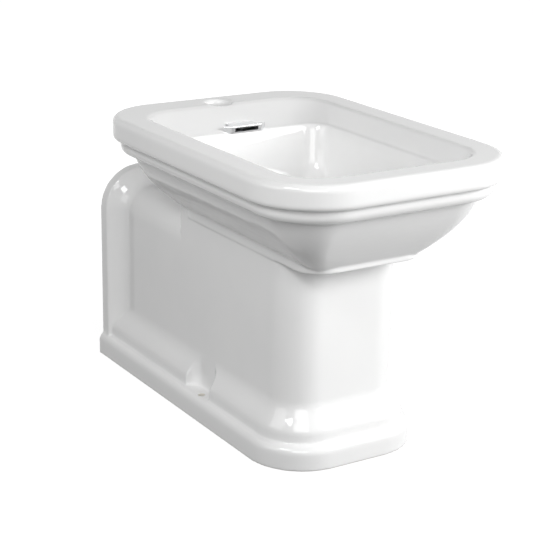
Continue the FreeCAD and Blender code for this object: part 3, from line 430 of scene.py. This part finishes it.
# the camera's azimuth, elevation and roll in degrees, and its place
CAMERA_ANGLES = (-31.853, 17.753, 0.906)
CAMERA_PLACE = (-1.1109, -1.7651, 0.8813)
# its focal length and the image's width in pixels, and the sensor's width in millimetres
FOCAL_PIXELS = 1550.87
IMAGE_PIXELS = 533
SENSOR_WIDTH = 36.0


def direction(azimuth, elevation):
    """The way from the object toward the given angles in degrees; azimuth 0 is the front."""
    turn, rise = math.radians(azimuth), math.radians(elevation)
    return Vector((math.sin(turn) * math.cos(rise), -math.cos(turn) * math.cos(rise), math.sin(rise)))


def seen(tree):
    """One for rays that show the background: straight, mirrored or through glass."""
    path = add(tree, "ShaderNodeLightPath").outputs
    straight_or_mirrored = maths(tree, "MAXIMUM", path["Is Camera Ray"], path["Is Glossy Ray"])
    return maths(tree, "MAXIMUM", straight_or_mirrored, path["Is Transmission Ray"])


def outside_painted_shade(tree, place):
    """Nought on the floor inside the hollow, where the white lift is left off as painted shade, and
    one around it.
    """
    low, high = (Vector((*corner, 0)) for corner in zip(*COVERED_FLOOR))
    away = vectors(tree, "ABSOLUTE", vectors(tree, "SUBTRACT", place, (low + high) / 2))
    past = vectors(tree, "MAXIMUM", vectors(tree, "SUBTRACT", away, (high - low) / 2), (0, 0, 0))
    beyond = maths(tree, "GREATER_THAN", vectors(tree, "LENGTH", past, result="Value"), COVERED_EDGE)
    parts = add(tree, "ShaderNodeSeparateXYZ")
    feed(tree, parts, place)
    behind = maths(tree, "GREATER_THAN", parts.outputs["Y"], WALL_PLANE)
    return maths(tree, "MAXIMUM", beyond, behind)


def floor():
    """A pale floor that keeps the object's shadow and turns into the white backdrop further out."""
    mesh = bpy.data.meshes.new("floor")
    corners = [(x * FLOOR_REACH, y * FLOOR_REACH, 0) for x, y in ((-1, -1), (1, -1), (1, 1), (-1, 1))]
    mesh.from_pydata(corners, [], [(0, 1, 2, 3)])
    plane = bpy.data.objects.new("floor", mesh)
    plane.location.z = -FLOOR_DROP
    bpy.context.scene.collection.objects.link(plane)
    material = bpy.data.materials.new("pale_floor")
    material.use_nodes = True
    tree = material.node_tree
    tree.nodes.clear()
    place = add(tree, "ShaderNodeTexCoord").outputs["Object"]
    outward = add(tree, "ShaderNodeMapRange", interpolation_type="SMOOTHSTEP")
    distance = vectors(tree, "LENGTH", place, result="Value")
    feed(tree, outward, distance, *FLOOR_FADE, FLOOR_LIFT, 1.0)
    strength = maths(tree, "MULTIPLY", seen(tree), outward.outputs["Result"])
    matt = add(tree, "ShaderNodeBsdfDiffuse", Color=(FLOOR_TONE, FLOOR_TONE, FLOOR_TONE, 1))
    lift = add(tree, "ShaderNodeEmission", Color=WHITE)
    # the white lift is left off inside the hollow, as painted shade on the floor there
    lift_outside_painted_shade = maths(tree, "MULTIPLY", strength, outside_painted_shade(tree, place))
    tree.links.new(lift_outside_painted_shade, lift.inputs["Strength"])
    both = add(tree, "ShaderNodeAddShader")
    feed(tree, both, matt.outputs["BSDF"], lift.outputs["Emission"])
    out = add(tree, "ShaderNodeOutputMaterial")
    tree.links.new(both.outputs["Shader"], out.inputs["Surface"])
    mesh.materials.append(material)


def world():
    """White to the eye and to reflections, and a plain dim fill for everything else."""
    made = bpy.data.worlds.new("studio")
    bpy.context.scene.world = made
    made.use_nodes = True
    tree = made.node_tree
    background = tree.nodes["Background"]
    background.inputs["Color"].default_value = WHITE
    strength = maths(tree, "MULTIPLY_ADD", seen(tree), 1 - FILL, FILL)
    tree.links.new(strength, background.inputs["Strength"])


def lamp(name, azimuth, elevation, box, watts, mirrored=True):
    """A rectangular soft light that faces the object from the given angles, in degrees.

    One that isn't mirrored lights the object without a highlight in the glaze.
    """
    light = bpy.data.lights.new(name, "AREA")
    light.shape = "RECTANGLE"
    light.size, light.size_y = box
    light.energy = watts
    way = direction(azimuth, elevation)
    rig = bpy.data.objects.new(name, light)
    rig.visible_glossy = mirrored
    rig.location = LAMP_AIM + way * LAMP_DISTANCE
    rig.rotation_mode = "QUATERNION"
    rig.rotation_quaternion = (-way).to_track_quat("-Z", "Y")
    bpy.context.scene.collection.objects.link(rig)


def camera():
    """Stands where the photograph was taken from."""
    azimuth, elevation, roll_degrees = CAMERA_ANGLES
    roll = math.radians(roll_degrees)
    ahead = -direction(azimuth, elevation)
    level = ahead.cross(UPWARD).normalized()
    upright = level.cross(ahead)
    right = level * math.cos(roll) + upright * math.sin(roll)
    up = upright * math.cos(roll) - level * math.sin(roll)
    lens = bpy.data.cameras.new("camera")
    lens.sensor_width = SENSOR_WIDTH
    lens.lens = SENSOR_WIDTH * FOCAL_PIXELS / IMAGE_PIXELS
    view = bpy.data.objects.new("camera", lens)
    turn = Matrix((right, up, -ahead)).transposed()
    view.matrix_world = Matrix.Translation(CAMERA_PLACE) @ turn.to_4x4()
    bpy.context.scene.collection.objects.link(view)
    bpy.context.scene.camera = view


world()
floor()
lamp("right_low", azimuth=56, elevation=12, box=SOFTBOX, watts=25)
lamp("right_front", azimuth=36, elevation=24, box=SOFTBOX, watts=30)
lamp("front_left", azimuth=-30, elevation=27, box=SOFTBOX, watts=17)
lamp("left_box", azimuth=-64, elevation=43, box=SMALL_BOX, watts=14)
lamp("left_low", azimuth=-90, elevation=25, box=SOFTBOX, watts=8)
lamp("overhead", azimuth=0, elevation=88, box=TOP_BOX, watts=1)
lamp("behind", azimuth=178, elevation=8, box=BACK_BOX, watts=14, mirrored=False)
camera()

settings = bpy.context.scene.view_settings
settings.view_transform = "Standard"
